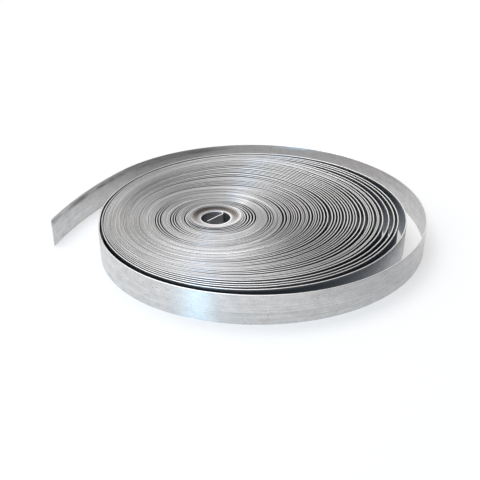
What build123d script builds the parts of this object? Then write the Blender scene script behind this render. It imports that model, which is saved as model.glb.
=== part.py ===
# A flat coil of galvanized steel strap, lying on its side as it is sold: about
# 70 turns round a small open eye, pressed together on one side and springing
# open on the other. The outermost turn has sprung clear of the rest and ends in
# a loose tail, and the inner end of the strap is bent across the eye.
# The origin is on the axis of the eye, at the height of the floor, and +Z is up.
from build123d import *
from math import cos, radians, sin
import os

# Strap
strap_width = 25.0
strap_thickness = 1.0

# Eye and the turns wound tight round it, which have crept upwards to a crest:
# how far out and how high the section turns, as shares of the hub's wall and rise
eye_radius = 11.9
hub_radius = 24.1
hub_rise = 2.2
hub_creep_shares = ((0, 0), (0.35, 0.06), (0.77, 1), (0.91, 0.93), (1, 0.2))

# Turns that lie round about the eye, the places of the spaces between them, and
# the side on which these spaces close up
round_radius = 53.0
round_space = 0.8
round_space_shares = (0.22, 0.36, 0.43, 0.81)
round_closed_angle = 90
round_closed_half_angle = 20

# Eccentric turns: pressed together on one side, open on the other
pack_radius = 131.2
pack_shift = 35.6
loose_side_angle = 25
pack_closed_half_angle = 55
last_turn = 39
loose_reach_shares = ((0, 0), (10, 0.19), (20, 0.4), (29, 0.63), (34, 0.77), (36, 0.85), (38, 0.925), (39, 1))

# Turns that stand clear of the next one out
open_turns = (9, 13, 17, 20, 23, 25, 27, 29, 31, 33, 34, 35, 36, 37, 38)

# Loose outer turn: where it leaves the pack, and then arcs that each run on from
# the last, as a share of the pack's radius and the angle that the arc turns
leaving_angle = -174.5
leaving_turn = 6.0
loop_arc_shares = ((0.93, 67), (1.12, 198.6), (1.164, 49.6), (1.09, 13.5), (2.787, 17.8))

# Inner end of the strap, bent across the eye
tab_root_angle = 54
tab_tip_angle = 221
tab_tip_clearance = 3.2


def polar(radius, angle):
    return Vector(radius * cos(radians(angle)), radius * sin(radians(angle)))


# Pack of turns

def loose_share(turn):
    """How far out a turn lies on the loose side, as a share of the whole way."""
    for (low, low_share), (high, high_share) in zip(loose_reach_shares, loose_reach_shares[1:]):
        if turn <= high:
            return low_share + (high_share - low_share) * (turn - low) / (high - low)


def disc(turn, inset):
    """Disc inside an eccentric turn, its edge set in from the turn's outer face."""
    closed_span = pack_radius - pack_shift - round_radius
    loose_span = pack_radius + pack_shift - round_radius
    closed_reach = round_radius + closed_span * turn / last_turn
    loose_reach = round_radius + loose_span * loose_share(turn)
    centre = polar((loose_reach - closed_reach) / 2, loose_side_angle)
    return Pos(centre) * Circle((loose_reach + closed_reach) / 2 - inset)


def sector(middle, half_angle):
    """Sector in which turns are pressed together."""
    reach = pack_radius + pack_shift
    corners = [polar(reach, middle + step * half_angle / 2) for step in range(-2, 3)]
    return make_face(Polyline((0, 0), *corners, close=True))


def spaces():
    """Spaces between the turns, outside the sectors in which they are pressed together."""
    span = round_radius - hub_radius
    middles = [hub_radius + share * span for share in round_space_shares]
    rings = [Circle(radius + round_space / 2) - Circle(radius - round_space / 2) for radius in middles]
    crescents = [disc(turn + 1, strap_thickness) - disc(turn, 0) for turn in open_turns]
    round_sector = sector(round_closed_angle, round_closed_half_angle)
    pack_sector = sector(loose_side_angle + 180, pack_closed_half_angle)
    return [ring - round_sector for ring in rings] + [crescent - pack_sector for crescent in crescents]


def hub():
    """Tight turns round the eye: each has crept up past the one inside it, as far as a crest."""
    wall = hub_radius - eye_radius
    bottom = [(eye_radius + out * wall, up * hub_rise) for out, up in hub_creep_shares]
    top = [(radius, height + strap_width) for radius, height in reversed(bottom)]
    return revolve(Plane.XZ * make_face(Polyline(*bottom, *top, close=True)), Axis.Z)


def pack():
    plan = disc(last_turn, 0) - Circle(hub_radius)
    for space in spaces():
        plan -= space
    return extrude(plan, strap_width) + hub()


# Loose outer turn and tail

def loop_face(start, heading, inset):
    """One face of the loose turn: arcs that run on from each other."""
    edges = []
    across = heading.rotate(Axis.Z, 90)
    point = start + across * inset
    for share, turned in loop_arc_shares:
        arc = JernArc(point, heading, share * pack_radius - inset, turned)
        edges.append(arc)
        point, heading = arc @ 1, arc % 1
    return edges


def loop():
    """Loose turn, from inside the edge of the pack round to its square-cut end."""
    centre = polar(pack_shift, loose_side_angle)
    start = centre + polar(pack_radius - strap_thickness / 2, leaving_angle)
    heading = polar(1, leaving_angle + 90 - leaving_turn)
    outer = loop_face(start, heading, 0)
    inner = loop_face(start, heading, strap_thickness)
    ends = [Line(outer[0] @ 0, inner[0] @ 0), Line(outer[-1] @ 1, inner[-1] @ 1)]
    return extrude(make_face([*outer, *inner, *ends]), strap_width)


# Inner end of the strap

def tab():
    root = polar(eye_radius + strap_thickness, tab_root_angle)
    tip = polar(eye_radius - tab_tip_clearance, tab_tip_angle)
    run = Line(root, tip)
    across = (run % 0).rotate(Axis.Z, 90) * strap_thickness / 2
    corners = [root + across, tip + across, tip - across, root - across]
    return extrude(make_face(Polyline(*corners, close=True)), strap_width)


os.makedirs("parts", exist_ok=True)
export_step(pack() + loop() + tab(), "parts/strap_coil.step")
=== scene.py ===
import bpy
import math
import random
import numpy as np
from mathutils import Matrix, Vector


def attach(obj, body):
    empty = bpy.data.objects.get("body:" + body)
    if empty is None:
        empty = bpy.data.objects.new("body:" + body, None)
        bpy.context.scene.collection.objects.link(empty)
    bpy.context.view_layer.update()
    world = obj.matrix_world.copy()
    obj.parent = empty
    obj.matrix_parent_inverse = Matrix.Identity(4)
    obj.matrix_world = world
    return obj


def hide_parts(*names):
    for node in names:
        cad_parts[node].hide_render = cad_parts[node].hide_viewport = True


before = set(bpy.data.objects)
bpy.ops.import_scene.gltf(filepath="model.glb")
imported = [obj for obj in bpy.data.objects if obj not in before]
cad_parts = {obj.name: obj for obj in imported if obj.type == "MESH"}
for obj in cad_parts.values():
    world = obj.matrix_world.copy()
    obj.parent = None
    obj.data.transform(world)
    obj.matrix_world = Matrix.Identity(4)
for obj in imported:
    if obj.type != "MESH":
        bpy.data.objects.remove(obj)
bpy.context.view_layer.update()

# The camera stands in front of the coil, a little to the right of its eye, and looks
# down on it. Its place and lens are worked out from the photograph's perspective.
CAMERA_PLACE = (0.0208, -0.5772, 0.3137)
CAMERA_LOOKS_DOWN = 28.24
FOCAL_PIXELS = 762.4
FRAME_PIXELS = 480
SENSOR_MM = 36.0
NEAREST_SEEN = 0.01

looks = (math.radians(90 - CAMERA_LOOKS_DOWN), 0, 0)
bpy.ops.object.camera_add(location=CAMERA_PLACE, rotation=looks)
camera = bpy.context.object
camera.data.sensor_width = SENSOR_MM
camera.data.lens = FOCAL_PIXELS / FRAME_PIXELS * SENSOR_MM
camera.data.clip_start = NEAREST_SEEN
bpy.context.scene.camera = camera


# The strap: one length of galvanized steel, slit 25 mm wide from 1 mm sheet, its edges
# broken by the slitter, and rolled up flat. The turns press together on the left and
# have sprung open on the right. Lengths are in metres where no comment says millimetres.
WIDTH = 0.025
THICKNESS = 0.001
EDGE_BREAK = 0.00014
STATIONS_PER_TURN = 96
FULL = 2 * math.pi

# Turns of the hub, which lie tight, then the pitches of the turns outside it, in millimetres:
# on the loose side the open turns stand clear of each other, single or in pressed pairs
EYE = 0.0119
HUB = 0.0241
HUB_TURNS = 11
ROUND_REACH = 0.053
ROUND_PITCHES_LOOSE = (
    1.8, 2.6, 2.6, 2.7, 2.5, 1.02, 1.05, 1.02, 1.02, 1.02, 1.05,
    1.02, 1.02, 2.3, 2.3, 1.9, 1.02, 1.1, 1.5, 1.1, 1.2)
ROUND_PITCHES_CLOSED = (
    1.02, 1.02, 2.2, 1.02, 1.02, 1.02, 1.2, 1.02, 2.1, 2.1, 2.2,
    1.02, 1.02, 1.02, 1.02, 1.02, 1.02, 2.2, 2.1, 2.1, 1.02)
OPEN_PITCHES_LOOSE = (
    3.0, 2.4, 1.7, 2.4, 2.0, 1.7, 2.6, 2.4, 1.8, 2.5, 1.7, 2.4, 2.9,
    1.8, 2.6, 2.0, 2.8, 2.8, 3.7, 2.7, 3.0, 2.8, 3.0, 2.6, 2.6, 2.7,
    2.6, 3.7, 3.1, 3.6, 1.7, 2.6, 3.5, 1.2, 3.5, 5.2, 4.3, 3.6, 7.3)
OPEN_GAPS_CLOSED = {3: 0.3, 10: 0.35, 14: 0.2, 22: 0.35, 29: 0.1, 38: 0.9}
PRESSED_SHARE = 1.02
PACK = 0.1312
PACK_SHIFT = 0.0356
LOOSE_SIDE = math.radians(25)

# How high the turns stand: in the hub each has crept up past the one inside it, to a crest,
# by turn and in millimetres, and elsewhere they rise and fall a little in slow waves
HUB_CREEP = (
    (0, 0), (3, 0.1), (5.5, 0.7), (7.5, 1.6), (8.7, 1.95), (10, 1.8),
    (11.2, 0.7), (12.5, 0.3), (14, 0.15))
TURN_LIFT = 0.00024
LIFT_WAVE = 0.11

# Loose turn: where it leaves the pack, then arcs as shares of the pack's radius and degrees
LEAVING_ANGLE = math.radians(-174.5)
LEAVING_TURN = math.radians(6.0)
LOOP_ARC_SHARES = ((0.93, 67), (1.1197, 198.6), (1.164, 49.6), (1.09, 13.5), (2.787, 17.8))
ARC_STEP = math.radians(3)
EASED_STATIONS = 8
EASINGS = 8

# The outer turns aren't quite round: degrees about the middle of the pack, and how far the
# last turn, and then the turns under it, lie off their circle, in millimetres
LAST_TURN_OFF = (
    (-174.5, -1.7), (-164, -1.1), (-154, 0), (-142, 0.7), (-128, 1.4),
    (-108, 0.8), (-92, -0.1), (-76, -1.3), (-56, -1.9), (-32, -1.9),
    (-8, -0.2), (0, 0), (86, -0.6), (104, -0.7), (116, -0.6),
    (132, -1.4), (148, -1.9), (164, -1.3), (178, 0.2), (185.5, 0.8))
UNDER_TURNS_OFF = (
    (0, 0), (96, 0), (116, -1.6), (132, -2.6), (152, -3), (170, -2.7),
    (185.5, -1.7), (196, -1.1), (206, 0), (218, 0.7), (232, 1.4),
    (252, 0.8), (268, -0.1), (284, -1.3), (304, -1.9), (328, -1.9),
    (352, -0.2), (360, 0))

# Gaps between the open turns: how much they waver, how readily they close up towards the
# front, by their width in millimetres, and over how many turns they take over from the round
# turns. Behind the eye each turn has a gap of its own: where, by degrees about the eye
WOBBLE = 0.0004
WOBBLES_PER_TURN = 6
CLOSES = ((0.5, 2.2), (1.5, 1.1), (2.5, 0.8), (3.5, 1.0), (6.5, 2.2))
OPENS_OVER = 4
BACK = math.radians(130)
BEHIND = ((0, 0), (45, 0), (80, 1), (150, 1), (215, 0), (360, 0))
MEAN_GAP = 0.002
GAP_SPREAD = 2

# Bounds of what a gap gives up to fit the others along a ray, halved until it is known
LEAST_TAKEN, MOST_TAKEN = -0.01, 0.05
HALVINGS = 24

# The gaps of the round turns even out behind the eye, about one angle, in radians
EVEN_AT = math.radians(105)
EVEN_WITHIN = 0.45
EVEN_SHARE = 0.8

# Inner end, bent across the eye
TAB_TIP = (-0.0065, -0.0057)
TAB_HEADING = math.radians(48)
TAB_BEND = 0.0025
TAB_STEPS = 6
BEND_STEP = math.radians(14)

random.seed(11)


def crossings(at, angle, pitches, last):
    """Turns at which the strap crosses a ray, and the reach of its outer face there."""
    # the pitches are scaled to fill what the hub leaves, and none gets closer than pressed
    first = ((angle - at) % FULL) / FULL
    in_hub = EYE + THICKNESS + (HUB - EYE - THICKNESS) * np.arange(first, HUB_TURNS) / HUB_TURNS
    left_over = last - in_hub[-1]
    pitches = np.array(pitches) * left_over / sum(pitches)
    tight = pitches < PRESSED_SHARE * THICKNESS
    pitches[tight] = PRESSED_SHARE * THICKNESS
    pitches[~tight] -= (sum(pitches) - left_over) / sum(~tight)
    reach = np.concatenate([in_hub, in_hub[-1] + np.cumsum(pitches)])
    return first + np.arange(len(reach)), reach


def arc_points(start, heading, radius, turned, step=ARC_STEP):
    """Points after start on an arc that runs on from a heading, and the heading at its end."""
    centre = (start[0] - radius * math.sin(heading), start[1] + radius * math.cos(heading))
    count = max(2, round(turned / step))
    angles = [heading - math.pi / 2 + turned * (i + 1) / count for i in range(count)]
    points = [(centre[0] + radius * math.cos(a), centre[1] + radius * math.sin(a)) for a in angles]
    return points, heading + turned


def tab_points():
    """Inner end: straight across the eye, then bent sharply onto the wall of the eye."""
    ahead = Vector((math.cos(TAB_HEADING), math.sin(TAB_HEADING)))
    left = Vector((-ahead.y, ahead.x))
    wall = EYE + THICKNESS / 2
    off = Vector(TAB_TIP).dot(left) + TAB_BEND
    run = math.sqrt((wall - TAB_BEND) ** 2 - off ** 2)
    bend_start = ahead * run + left * (off - TAB_BEND)
    centre = ahead * run + left * off
    joins = math.atan2(centre.y, centre.x)
    turned = joins + math.pi / 2 - TAB_HEADING
    bend, heading = arc_points(bend_start, TAB_HEADING, TAB_BEND, turned, BEND_STEP)
    straight = [tuple(Vector(TAB_TIP).lerp(bend_start, i / TAB_STEPS)) for i in range(TAB_STEPS + 1)]
    return straight + bend[:-1], joins


def off_circle(angle, before_end):
    """How far an outer turn lies off its circle, at an angle about the middle of the pack."""
    degrees = math.degrees(angle) % 360
    if before_end >= 1:
        return np.interp(degrees, *zip(*UNDER_TURNS_OFF)) / 1000
    if degrees > LAST_TURN_OFF[-1][0]:
        degrees -= 360
    return np.interp(degrees, *zip(*LAST_TURN_OFF)) / 1000


def planned_gaps(at_turn, angle, near_at, near_reach, far_at, far_reach):
    """Gap inside each station of the strap: its least, its widest, and how readily it gives up
    room, which is 0 for the round turns."""
    wobbles = math.ceil(at_turn[-1] * WOBBLES_PER_TURN) + 2
    uneven = np.interp(at_turn * WOBBLES_PER_TURN, np.arange(wobbles),
                       [random.uniform(-WOBBLE, WOBBLE) for knot in range(wobbles)])
    widest = np.interp(at_turn, far_at[1:], np.diff(far_reach)) - THICKNESS
    least = np.interp(at_turn, near_at[1:], np.diff(near_reach)) - THICKNESS

    # round turns, then open turns
    loose = (1 + np.cos(angle - LOOSE_SIDE)) / 2
    from_even = (angle - EVEN_AT + math.pi) % FULL - math.pi
    evened = EVEN_SHARE * np.exp(-(from_even / EVEN_WITHIN) ** 2)
    even = (ROUND_REACH - HUB) / len(ROUND_PITCHES_LOOSE) - THICKNESS
    round_gap = (widest * loose + least * (1 - loose)) * (1 - evened) + even * evened
    round_turns = HUB_TURNS + len(ROUND_PITCHES_LOOSE)
    is_open = np.clip((at_turn - round_turns + OPENS_OVER / 2) / OPENS_OVER, 0, 1)
    widest = round_gap * (1 - is_open) + (widest + uneven) * is_open

    # at the back, each turn has a gap of its own, many of them narrow and a few wide, and the
    # wide ones give up the most room
    turns = math.ceil(at_turn[-1]) + 1
    by_turn = [2 * MEAN_GAP * random.random() ** GAP_SPREAD for turn in range(turns)]
    behind = np.interp(np.degrees(angle) % 360, *zip(*BEHIND)) * is_open
    widest = widest + (np.interp(at_turn, np.arange(turns), by_turn) - widest) * behind
    at_back = (1 + np.cos(angle - BACK)) / 2
    closes = np.interp(widest * 1000, *zip(*CLOSES)) * (1 - at_back) + widest / MEAN_GAP * at_back
    return np.minimum(least, widest), widest, closes * is_open


def spread(least, widest, weights, room):
    """Gaps along one ray: they give up room by their weights, and none gets narrower than its least."""
    low, high = LEAST_TAKEN, MOST_TAKEN
    for halving in range(HALVINGS):
        taken = (low + high) / 2
        gaps = np.where(weights > 0, np.maximum(least, widest - taken * weights), widest)
        low, high = (taken, high) if gaps.sum() > room else (low, taken)
    return gaps


def pack_points(joins):
    """Turns of the pack, from the wall of the eye to where the loose turn leaves."""
    pressed = [PRESSED_SHARE + OPEN_GAPS_CLOSED.get(i, 0.0) for i in range(len(OPEN_PITCHES_LOOSE))]
    far_at, far_reach = crossings(
        joins, LOOSE_SIDE, ROUND_PITCHES_LOOSE + OPEN_PITCHES_LOOSE, PACK + PACK_SHIFT)
    near_at, near_reach = crossings(
        joins, LOOSE_SIDE + math.pi, ROUND_PITCHES_CLOSED + tuple(pressed), PACK - PACK_SHIFT)
    centre = PACK_SHIFT * math.cos(LOOSE_SIDE), PACK_SHIFT * math.sin(LOOSE_SIDE)
    leaves_at = math.atan2(centre[1] + PACK * math.sin(LEAVING_ANGLE),
                           centre[0] + PACK * math.cos(LEAVING_ANGLE))
    turns = far_at[-1] + ((leaves_at - LOOSE_SIDE) % FULL) / FULL
    at_turn = np.append(np.arange(0, turns, 1 / STATIONS_PER_TURN), turns)
    angle = joins + at_turn * FULL
    off = angle - LOOSE_SIDE

    # each turn as a circle between its reach on the loose side and on the closed side
    near = np.interp(at_turn, near_at, near_reach)
    far = np.interp(at_turn, far_at, far_reach)
    first = at_turn < 1
    near[first] = far[first] = EYE + THICKNESS + (HUB - EYE - THICKNESS) * at_turn[first] / HUB_TURNS
    shift, radius = (far - near) / 2, (far + near) / 2
    reach = shift * np.cos(off) + np.sqrt(radius ** 2 - (shift * np.sin(off)) ** 2)
    slant = np.cos(np.arcsin(shift * np.sin(off) / radius))
    held = far_at[-1] - 1
    for k in np.flatnonzero(at_turn >= held):
        about = math.atan2(reach[k] * math.sin(angle[k]) - centre[1],
                           reach[k] * math.cos(angle[k]) - centre[0])
        reach[k] += off_circle(about, turns - at_turn[k]) / slant[k]

    # then the gaps between the turns, ray by ray, from the hub out to the turn that is held
    least, widest, weights = planned_gaps(at_turn, angle, near_at, near_reach, far_at, far_reach)
    for ray in range(STATIONS_PER_TURN):
        on_ray = np.arange(ray, len(at_turn) - 1, STATIONS_PER_TURN)
        on_ray = on_ray[at_turn[on_ray] < held + 1]
        free = on_ray[at_turn[on_ray] > HUB_TURNS]
        inner = reach[on_ray[at_turn[on_ray] <= HUB_TURNS][-1]]
        thick = THICKNESS / slant[free]
        gaps = spread(least[free], widest[free], weights[free], reach[free[-1]] - inner - thick.sum())
        reach[free[:-1]] = (inner + np.cumsum(thick + gaps))[:-1]

    # and no turn closer to the one inside it than pressed
    for k in range(STATIONS_PER_TURN, len(at_turn)):
        inside = np.interp(at_turn[k] - 1, at_turn[:k], reach[:k])
        reach[k] = max(reach[k], inside + PRESSED_SHARE * THICKNESS / slant[k])
    middle = reach - THICKNESS / 2 / slant
    return np.column_stack([middle * np.cos(angle), middle * np.sin(angle)]), at_turn


def loop_points():
    """Loose turn and tail, as the arcs that run on from where the strap leaves the pack."""
    heading = LEAVING_ANGLE + math.pi / 2 - LEAVING_TURN
    start = (PACK_SHIFT * math.cos(LOOSE_SIDE) + (PACK - THICKNESS) * math.cos(LEAVING_ANGLE),
             PACK_SHIFT * math.sin(LOOSE_SIDE) + (PACK - THICKNESS) * math.sin(LEAVING_ANGLE))
    points = []
    for share, degrees in LOOP_ARC_SHARES:
        arc, heading = arc_points(start, heading, share * PACK - THICKNESS / 2, math.radians(degrees))
        points += arc
        start = arc[-1]
    return points


tab, joins = tab_points()
pack, at_turn = pack_points(joins)
route = np.vstack([tab, pack, loop_points()])
in_pack = slice(len(tab), len(tab) + len(pack))

# edges lifted by the creep of the hub and by slow waves
along = np.concatenate([[0], np.cumsum(np.hypot(*np.diff(route, axis=0).T))])
knots = np.arange(0, along[-1] + 2 * LIFT_WAVE, LIFT_WAVE)
waves = np.interp(along, knots, [random.random() for knot in knots]) * TURN_LIFT
lifts = np.zeros(len(route))
lifts[in_pack] = np.interp(at_turn, *zip(*HUB_CREEP)) / 1000 + waves[in_pack] * np.clip(at_turn, 0, 1)
print("strap length", round(along[-1], 2), "m, stations", len(route), "turns", round(at_turn[-1], 2))

# the strap leaves the pack in a curve: its distance from the middle of the pack is eased there
middle = np.array([PACK_SHIFT * math.cos(LOOSE_SIDE), PACK_SHIFT * math.sin(LOOSE_SIDE)])
near_leaving = slice(in_pack.stop - EASED_STATIONS, in_pack.stop + EASED_STATIONS)
distance = np.hypot(*(route[near_leaving] - middle).T)
eased = distance.copy()
for easing in range(EASINGS):
    eased[1:-1] = (eased[:-2] + 2 * eased[1:-1] + eased[2:]) / 4
route[near_leaving] = middle + (route[near_leaving] - middle) * (eased / distance)[:, None]

# a flat grid of the strap's length, wound onto the route
bpy.ops.object.select_all(action='DESELECT')
bpy.ops.mesh.primitive_grid_add(x_subdivisions=len(route) - 1, y_subdivisions=1, size=1)
strap = bpy.context.object
strap.name = "strap"
flat = np.empty(len(strap.data.vertices) * 3)
strap.data.vertices.foreach_get("co", flat)
flat = flat.reshape(-1, 3)
station = np.rint((flat[:, 0] + 0.5) * (len(route) - 1)).astype(int)
across = flat[:, 1] + 0.5
wound = np.column_stack([route[station], across * WIDTH + lifts[station]])
strap.data.vertices.foreach_set("co", wound.ravel())
corners = np.empty(len(strap.data.loops), dtype=int)
strap.data.loops.foreach_get("vertex_index", corners)
strap.data.uv_layers[0].name = "along"
unwound = np.column_stack([along[station], across * WIDTH])[corners]
strap.data.uv_layers["along"].uv.foreach_set("vector", unwound.astype(np.float32).ravel())
strap.data.update()

thicken = strap.modifiers.new("thickness", 'SOLIDIFY')
thicken.thickness = THICKNESS
thicken.offset = 0
bpy.ops.object.modifier_apply(modifier=thicken.name)

# room before each face, as a share of a wide open gap: 0 where the next turn presses on it,
# and 1 where no turn lies before it
FREE_GAP = 0.022
NO_TURN = 1.0
wound_on = slice(len(tab), None)
winding = np.unwrap(np.arctan2(route[wound_on, 1], route[wound_on, 0]))
out = np.hypot(*route[wound_on].T)
outside = np.full(len(route), FREE_GAP)
inside = outside.copy()
outside[wound_on] = np.interp(winding + FULL, winding, out, right=NO_TURN) - out - THICKNESS
inside[wound_on] = out - np.interp(winding - FULL, winding, out, left=0) - THICKNESS
verts = np.empty(len(strap.data.vertices) * 3)
strap.data.vertices.foreach_get("co", verts)
verts = verts.reshape(-1, 3)[:, :2]
at = np.tile(station, 2)
faces_out = np.hypot(*verts.T) > np.hypot(*route[at].T)
space = np.where(faces_out, outside[at], inside[at])
for name, values in (("room", np.clip(space / FREE_GAP, 0, 1)), ("outer", faces_out)):
    attribute = strap.data.attributes.new(name, 'FLOAT', 'POINT')
    attribute.data.foreach_set("value", values.astype(np.float32))

broken = strap.modifiers.new("broken edges", 'BEVEL')
broken.width = EDGE_BREAK
broken.segments = 1
broken.limit_method = 'ANGLE'
broken.angle_limit = math.radians(60)
bpy.ops.object.modifier_apply(modifier=broken.name)
bpy.ops.object.shade_smooth_by_angle(angle=math.radians(30))
print("triangles", sum(len(p.vertices) - 2 for p in strap.data.polygons))


def linear(hex_colour):
    """Linear colour for the shaders, from an sRGB hex value."""
    channels = [int(hex_colour[i:i + 2], 16) / 255 for i in (1, 3, 5)]
    return tuple(c / 12.92 if c <= 0.04045 else ((c + 0.055) / 1.055) ** 2.4 for c in channels) + (1.0,)


def add(tree, kind, settings=None, **inputs):
    """Adds a node; inputs are values, or the nodes or output sockets that feed them, by name or number."""
    node = tree.nodes.new(kind)
    for name, value in (settings or {}).items():
        setattr(node, name, value)
    for name, value in inputs.items():
        socket = node.inputs[int(name[1:])] if name[0] == "_" else node.inputs[name.replace("_", " ")]
        if isinstance(value, bpy.types.Node):
            value = next(output for output in value.outputs if output.enabled)
        if isinstance(value, bpy.types.NodeSocket):
            tree.links.new(value, socket)
        else:
            socket.default_value = value
    return node


# Skin-passed zinc on cold-rolled steel: to the eye a soft grey metal with faint lines along
# the strap from the rolls, a mottled bloom, and small brown specks. The slit edges are paler
# and as rough as the dullest of it. Faces with another turn close before them get painted shade.
ZINC_DARK, ZINC_LIGHT = "#B7B6B6", "#E9E8E7"
# the last edge colour on the next line is a painted highlight for edges where the turns stand open
EDGE_DARK, EDGE_LIGHT, EDGE_PAINTED_HIGHLIGHT = "#A8A8A9", "#F0F0F1", "#FFFFFF"
# the first two colours on the next line are painted shade between turns, near black where pressed and
# blue-grey where they stand off
PAINTED_SHADE_PRESSED, PAINTED_SHADE_OPEN, TAIL_DARK = "#0F1215", "#586A7A", "#6C6E70"
# of the next line's colours, the specks and scores are marks on the metal, and the last is brown painted
# shade for the hub
SPECK_BROWN, SCORE_GREY, HUB_SHADE_BROWN = "#6E5A4A", "#77787A", "#776B60"

# Sizes of the patterns in millimetres along and across the strap, their detail and their
# roughness. The real grain and roll lines are finer: these are as coarse as they need to show
PATTERNS = {
    "roll lines": (140, 0.7, 3.0, 0.6),
    "bloom": (9, 5, 4.0, 0.65),
    "grain": (1.3, 1.1, 2.0, 0.5),
    "patches of specks": (40, 14, 1.0, 0.5),
    "ragged band": (28, 4, 4.0, 0.6),
    "scores": (260, 1.1, 2.0, 0.6),
    "tone of the edge": (170, math.inf, 4.0, 0.7),
}
SPECK = 1.8
GRAIN_SHARE = 0.7

# Stretches of the strap with a mark on them, in metres along it: where the mark sets in, is
# full, starts to fade and is gone. The painted dark reflection and the scores are on the loose
# end, and the brown painted shade is in the hub
LOOSE_END = along[-1]
STRETCHES = {
    "tail reflection": (LOOSE_END - 0.26, LOOSE_END - 0.19, LOOSE_END - 0.15, LOOSE_END - 0.05),
    "scores": (LOOSE_END - 0.80, LOOSE_END - 0.70, LOOSE_END - 0.56, LOOSE_END - 0.50),
    "hub shade": (0.1, 0.35, 0.62, 0.8),
}

# A darker band in a line along the loose end, painted dark reflection over the loose end, and
# painted shade on the faces between turns, lighter along their top as painted light. What goes by
# the room before a face is in shares of a wide open gap, from and to
TAIL_BAND_SETS_IN = LOOSE_END - 0.27
TAIL_BAND_FULL = LOOSE_END - 0.17
TAIL_BAND_HEIGHT = 0.0215
TAIL_BAND_HALF_WIDTH = 0.0035
TAIL_REFLECTION_SHARE = 0.4
LIT_TOP_DEPTH = 0.003
LIT_TOP_SHARE = 0.7
LIT_TOP_ROOM = (0.008, 0.02)
PRESSED_ROOM = (0.01, 0.03)
LIGHTER_SHADE_ROOM = (0.06, 0.18)
UNSHADED_ROOM = (0.1, 0.9)

# Slit edges: palest where turns stand open, as a painted highlight, and paler in the hub, in metres
# along the strap, but for the brown painted shade there, which grows from before the eye to behind it
OPEN_EDGE_ROOM = (0.03, 0.11)
HUB_PALER_TO, HUB_AS_REST_FROM = 1.2, 1.5
HUB_PALER_SHARE = 0.2
HUB_SHADE_GROWS_FROM, HUB_SHADE_GROWS_TO = -0.014, 0.008
HUB_SHADE_BEFORE_EYE, HUB_SHADE_BEHIND_EYE = 0.25, 0.85

# Finish: rougher where the mottling is dark, and on the slit edges
ROUGH_WHERE_DARK, ROUGH_WHERE_LIGHT = 0.40, 0.28
EDGE_ROUGHNESS = 0.4
BUMP_STRENGTH = 0.25
BUMP_HEIGHT = 0.00005

MULTIPLY = {"operation": 'MULTIPLY'}
MAXIMUM = {"operation": 'MAXIMUM'}
SMOOTH = {"interpolation_type": 'SMOOTHSTEP'}
COLOUR = {"data_type": 'RGBA'}

zinc = bpy.data.materials.new("skin_passed_zinc")
zinc.use_nodes = True
tree = zinc.node_tree
shader = tree.nodes["Principled BSDF"]
shader.inputs["Metallic"].default_value = 1.0
shader.inputs["Anisotropic"].default_value = 0.75
shader.inputs["Anisotropic Rotation"].default_value = 0.25
tangent = add(tree, "ShaderNodeTangent", {"direction_type": 'RADIAL', "axis": 'Z'})
tree.links.new(tangent.outputs[0], shader.inputs["Tangent"])

on_strap = add(tree, "ShaderNodeUVMap", {"uv_map": "along"})
place = add(tree, "ShaderNodeSeparateXYZ", Vector=on_strap)
run, height = place.outputs["X"], place.outputs["Y"]
room = add(tree, "ShaderNodeAttribute", {"attribute_name": "room"}).outputs["Fac"]
outer = add(tree, "ShaderNodeAttribute", {"attribute_name": "outer"}).outputs["Fac"]

pattern = {}
for name, (length, breadth, detail, roughness) in PATTERNS.items():
    scaled = add(tree, "ShaderNodeMapping", Vector=on_strap, Scale=(1000 / length, 1000 / breadth, 1))
    pattern[name] = add(tree, "ShaderNodeTexNoise",
                        Vector=scaled, Scale=1.0, Detail=detail, Roughness=roughness)

stretch = {}
for name, (sets_in, full, fades, gone) in STRETCHES.items():
    begins = add(tree, "ShaderNodeMapRange", SMOOTH, _0=run, _1=sets_in, _2=full)
    stops = add(tree, "ShaderNodeMapRange", SMOOTH, _0=run, _1=fades, _2=gone, _3=1.0, _4=0.0)
    stretch[name] = add(tree, "ShaderNodeMath", MULTIPLY, _0=begins, _1=stops)

# the mottled grey of the faces
mottled = add(tree, "ShaderNodeMath", {"operation": 'ADD'}, _0=pattern["bloom"], _1=pattern["roll lines"])
mottled = add(tree, "ShaderNodeMath", {"operation": 'MULTIPLY_ADD'},
              _0=pattern["grain"], _1=GRAIN_SHARE, _2=mottled)
tone = add(tree, "ShaderNodeMapRange", _0=mottled, _1=0.85, _2=1.85)
face = add(tree, "ShaderNodeMix", COLOUR, _0=tone, _6=linear(ZINC_DARK), _7=linear(ZINC_LIGHT))

# small brown specks, in patches
on_specks = add(tree, "ShaderNodeMapping", Vector=on_strap, Scale=(1000 / SPECK, 1000 / SPECK, 1))
spots = add(tree, "ShaderNodeTexVoronoi", Vector=on_specks, Scale=1.0)
dots = add(tree, "ShaderNodeMapRange", _0=spots.outputs["Distance"], _1=0.12, _2=0.22, _3=1.0, _4=0.0)
chance = add(tree, "ShaderNodeSeparateColor", Color=spots.outputs["Color"])
enough = add(tree, "ShaderNodeMapRange", _0=pattern["patches of specks"], _1=0.45, _2=0.65, _3=1.0, _4=0.7)
chosen = add(tree, "ShaderNodeMath", {"operation": 'GREATER_THAN'}, _0=chance, _1=enough)
specks = add(tree, "ShaderNodeMath", MULTIPLY, _0=dots, _1=chosen)

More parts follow.
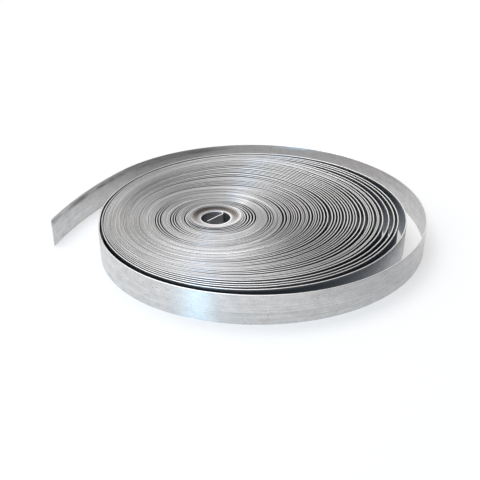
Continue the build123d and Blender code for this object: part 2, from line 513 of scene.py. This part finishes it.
# a darker band along the loose end, a few millimetres below its upper edge, in ragged smears,
# and painted dark reflection over the whole width, farther in
on_tail = add(tree, "ShaderNodeMapRange", SMOOTH, _0=run, _1=TAIL_BAND_SETS_IN, _2=TAIL_BAND_FULL)
from_line = add(tree, "ShaderNodeMath", {"operation": 'SUBTRACT'}, _0=height, _1=TAIL_BAND_HEIGHT)
from_line = add(tree, "ShaderNodeMath", {"operation": 'ABSOLUTE'}, _0=from_line)
in_band = add(tree, "ShaderNodeMapRange", SMOOTH,
              _0=from_line, _1=0.0, _2=TAIL_BAND_HALF_WIDTH, _3=1.0, _4=0.0)
ragged = add(tree, "ShaderNodeMapRange", _0=pattern["ragged band"], _1=0.38, _2=0.62)
dark_tail_band = add(tree, "ShaderNodeMath", MULTIPLY, _0=on_tail, _1=in_band)
dark_tail_band = add(tree, "ShaderNodeMath", MULTIPLY, _0=dark_tail_band, _1=ragged)
tail_darkened = add(tree, "ShaderNodeMath", MULTIPLY, _0=stretch["tail reflection"], _1=TAIL_REFLECTION_SHARE)

# scores from the rolls along the lower half of the loose turn, where it comes round the front
scores = add(tree, "ShaderNodeMapRange", _0=pattern["scores"], _1=0.52, _2=0.68)
low = add(tree, "ShaderNodeMapRange", SMOOTH, _0=height, _1=0.006, _2=0.016, _3=0.5, _4=0.12)
scored = add(tree, "ShaderNodeMath", MULTIPLY, _0=scores, _1=stretch["scores"])
scored = add(tree, "ShaderNodeMath", MULTIPLY, _0=scored, _1=low)

# specks, the darker band and scores are marks on the metal; the darkening over the loose end is painted dark
# reflection
marks = ((specks, SPECK_BROWN), (dark_tail_band, TAIL_DARK), (tail_darkened, TAIL_DARK), (scored, SCORE_GREY))
for amount, mark in marks:
    face = add(tree, "ShaderNodeMix", COLOUR, _0=amount, _6=face, _7=linear(mark))

# painted shade between turns: near black where a turn presses on the face, blue-grey with painted
# reflection where it stands a few millimetres off, gone where it stands free, and lifted by painted
# light along the top of the face
from_middle = add(tree, "ShaderNodeMath", {"operation": 'SUBTRACT'}, _0=height, _1=WIDTH / 2)
from_middle = add(tree, "ShaderNodeMath", {"operation": 'ABSOLUTE'}, _0=from_middle)
lit_top = add(tree, "ShaderNodeMapRange", _0=from_middle,
             _1=WIDTH / 2 - LIT_TOP_DEPTH, _2=WIDTH / 2 - LIT_TOP_DEPTH / 4, _3=0.0, _4=LIT_TOP_SHARE)
clear = add(tree, "ShaderNodeMapRange", _0=room, _1=LIT_TOP_ROOM[0], _2=LIT_TOP_ROOM[1])
lit_top = add(tree, "ShaderNodeMath", MULTIPLY, _0=lit_top, _1=clear)
shade_lifts = add(tree, "ShaderNodeMapRange", _0=room, _1=LIGHTER_SHADE_ROOM[0], _2=LIGHTER_SHADE_ROOM[1])
gap_shade = add(tree, "ShaderNodeMix", COLOUR, _0=shade_lifts, _6=linear(PAINTED_SHADE_PRESSED), _7=linear(PAINTED_SHADE_OPEN))
unshaded = add(tree, "ShaderNodeMapRange", SMOOTH, _0=room, _1=UNSHADED_ROOM[0], _2=UNSHADED_ROOM[1])
unshaded = add(tree, "ShaderNodeMath", MAXIMUM, _0=unshaded, _1=lit_top)
gap_shaded = add(tree, "ShaderNodeMix", COLOUR, _0=unshaded, _6=gap_shade, _7=face)

# slit edges, whose tone changes from one stretch of the strap to the next, paler in the hub
# and palest, as a painted highlight, where the turns stand open
edge_tone = add(tree, "ShaderNodeMapRange", _0=pattern["tone of the edge"], _1=0.3, _2=0.6)
in_hub = add(tree, "ShaderNodeMapRange", _0=run,
             _1=HUB_PALER_TO, _2=HUB_AS_REST_FROM, _3=HUB_PALER_SHARE, _4=0.0)
edge_tone = add(tree, "ShaderNodeMath", MAXIMUM, _0=edge_tone, _1=in_hub)
edge = add(tree, "ShaderNodeMix", COLOUR, _0=edge_tone, _6=linear(EDGE_DARK), _7=linear(EDGE_LIGHT))
stands_open = add(tree, "ShaderNodeMapRange", _0=room, _1=OPEN_EDGE_ROOM[0], _2=OPEN_EDGE_ROOM[1])
edge = add(tree, "ShaderNodeMix", COLOUR, _0=stands_open, _6=edge, _7=linear(EDGE_PAINTED_HIGHLIGHT))

# brown painted shade on the edges inside the crest of the hub, darkest behind the eye
where = add(tree, "ShaderNodeSeparateXYZ", Vector=add(tree, "ShaderNodeTexCoord").outputs["Object"])
behind_eye = add(tree, "ShaderNodeMapRange", SMOOTH, _0=where.outputs["Y"],
                 _1=HUB_SHADE_GROWS_FROM, _2=HUB_SHADE_GROWS_TO,
                 _3=HUB_SHADE_BEFORE_EYE, _4=HUB_SHADE_BEHIND_EYE)
hub_shaded = add(tree, "ShaderNodeMath", MULTIPLY, _0=stretch["hub shade"], _1=behind_eye)
edge = add(tree, "ShaderNodeMix", COLOUR, _0=hub_shaded, _6=edge, _7=linear(HUB_SHADE_BROWN))

# the edge's colour starts on the broken corner, but where the next turn presses on the outer
# face the painted shade covers that corner too: the real dark line between pressed turns is finer
# than can show, and this paints it as coarse as it needs to
pressed = add(tree, "ShaderNodeMapRange", _0=room, _1=PRESSED_ROOM[0], _2=PRESSED_ROOM[1], _3=1.0, _4=0.0)
on_outside = add(tree, "ShaderNodeMapRange", _0=outer, _1=0.4, _2=0.7)
groove = add(tree, "ShaderNodeMath", MULTIPLY, _0=on_outside, _1=pressed)
corner = add(tree, "ShaderNodeMapRange", _0=groove, _1=0.0, _2=1.0,
             _3=WIDTH / 2 - EDGE_BREAK * 0.95, _4=WIDTH / 2 - EDGE_BREAK * 0.1)
past = add(tree, "ShaderNodeMath", {"operation": 'SUBTRACT'}, _0=from_middle, _1=corner)
at_edge = add(tree, "ShaderNodeMapRange", _0=past, _1=0.0, _2=EDGE_BREAK / 20)
colour = add(tree, "ShaderNodeMix", COLOUR, _0=at_edge, _6=gap_shaded, _7=edge)
tree.links.new(colour.outputs[2], shader.inputs["Base Color"])

polish = add(tree, "ShaderNodeMapRange",
             _0=mottled, _1=0.8, _2=1.9, _3=ROUGH_WHERE_DARK, _4=ROUGH_WHERE_LIGHT)
rough = add(tree, "ShaderNodeMix", {"data_type": 'FLOAT'}, _0=at_edge, _2=polish, _3=EDGE_ROUGHNESS)
tree.links.new(rough.outputs[0], shader.inputs["Roughness"])
bump = add(tree, "ShaderNodeBump", Strength=BUMP_STRENGTH, Distance=BUMP_HEIGHT, Height=mottled)
tree.links.new(bump.outputs[0], shader.inputs["Normal"])
strap.data.materials.clear()
strap.data.materials.append(zinc)
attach(strap, "root")
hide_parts("strap_coil")


# The studio: a white paper floor that shows white to the eye and in the metal, but grey in
# the metal past the right of the coil, a cool window low on the left, a wide lamp overhead,
# a faint window behind, and a plain surround that is darker on the right.
FLOOR_SIZE = 16
FLOOR_GREY, FLOOR_WHITE = "#C4C4C4", "#FFFFFF"
FLOOR_GLOW = 0.5
RIGHTWARD, FRONTWARD = 0.8, -0.6
WHITE_TO, GREY_FROM = 0.158, 0.2
GREY_SHARE = 0.2
SURROUND_RIGHT, SURROUND_LEFT = "#6E6E70", "#F0EEEC"

bpy.ops.mesh.primitive_plane_add(size=FLOOR_SIZE)
floor = bpy.context.object
floor.name = "floor"
paper = bpy.data.materials.new("white_paper")
paper.use_nodes = True
tree = paper.node_tree
tree.nodes.remove(tree.nodes["Principled BSDF"])
path = add(tree, "ShaderNodeLightPath")
on_floor = add(tree, "ShaderNodeSeparateXYZ", Vector=add(tree, "ShaderNodeTexCoord").outputs["Object"])
# painted shade: in the metal the floor turns grey to the right of the coil, standing in for the floor's shade
# there; to the eye it stays white
rightward = add(tree, "ShaderNodeMath", MULTIPLY, _0=on_floor.outputs["X"], _1=RIGHTWARD)
rightward = add(tree, "ShaderNodeMath", {"operation": 'MULTIPLY_ADD'},
                _0=on_floor.outputs["Y"], _1=FRONTWARD, _2=rightward)
bright = add(tree, "ShaderNodeMapRange", _0=rightward, _1=WHITE_TO, _2=GREY_FROM, _3=1.0, _4=GREY_SHARE)
mirrored = add(tree, "ShaderNodeMath", MAXIMUM,
               _0=path.outputs["Is Glossy Ray"], _1=path.outputs["Is Transmission Ray"])
mirrored = add(tree, "ShaderNodeMath", MULTIPLY, _0=mirrored, _1=bright)
seen = add(tree, "ShaderNodeMath", MAXIMUM, _0=path.outputs["Is Camera Ray"], _1=mirrored)
glow = add(tree, "ShaderNodeMath", MULTIPLY, _0=seen, _1=FLOOR_GLOW)
lit = add(tree, "ShaderNodeBsdfDiffuse", Color=linear(FLOOR_GREY))
emitted = add(tree, "ShaderNodeEmission", Color=linear(FLOOR_WHITE), Strength=glow)
both = add(tree, "ShaderNodeAddShader", _0=lit, _1=emitted)
tree.links.new(both.outputs[0], tree.nodes["Material Output"].inputs["Surface"])
floor.data.materials.append(paper)

world = bpy.data.worlds.new("studio")
bpy.context.scene.world = world
world.use_nodes = True
tree = world.node_tree
direction = add(tree, "ShaderNodeTexCoord").outputs["Generated"]
towards = add(tree, "ShaderNodeSeparateXYZ", Vector=direction)
on_left = add(tree, "ShaderNodeMapRange", _0=towards.outputs["X"], _1=-0.25, _2=0.95, _3=1.0, _4=0.0)
surround = add(tree, "ShaderNodeMix", COLOUR, _0=on_left, _6=linear(SURROUND_RIGHT), _7=linear(SURROUND_LEFT))
tree.links.new(surround.outputs[2], tree.nodes["Background"].inputs["Color"])
in_front = add(tree, "ShaderNodeMapRange", _0=towards.outputs["Y"], _1=-0.9, _2=-0.1, _3=1.15, _4=0.85)
tree.links.new(in_front.outputs[0], tree.nodes["Background"].inputs["Strength"])


def panel(name, azimuth, elevation, distance, size, power, colour):
    """Soft rectangular lamp that faces the coil; degrees, metres and watts."""
    a, e = math.radians(azimuth), math.radians(elevation)
    stands = Vector((math.cos(a) * math.cos(e), math.sin(a) * math.cos(e), math.sin(e))) * distance
    faces_coil = stands.to_track_quat('Z', 'Y').to_euler()
    bpy.ops.object.light_add(type='AREA', location=stands, rotation=faces_coil)
    lamp = bpy.context.object
    lamp.name = name
    lamp.data.shape = 'RECTANGLE'
    lamp.data.size, lamp.data.size_y = size
    lamp.data.energy = power
    lamp.data.color = linear(colour)[:3]


panel("window", -122, 50, 1.6, (0.4, 0.5), 2.4, "#90C8FF")
panel("low window", -122, 2.5, 1.0, (0.1, 0.3), 5.2, "#A0DFFF")
panel("overhead", 121, 65, 1.8, (1.6, 1.0), 13, "#FDFDFF")
panel("window behind", 70, 24, 1.5, (0.6, 0.4), 0.5, "#FFFFFF")

bpy.context.scene.view_settings.view_transform = 'Standard'
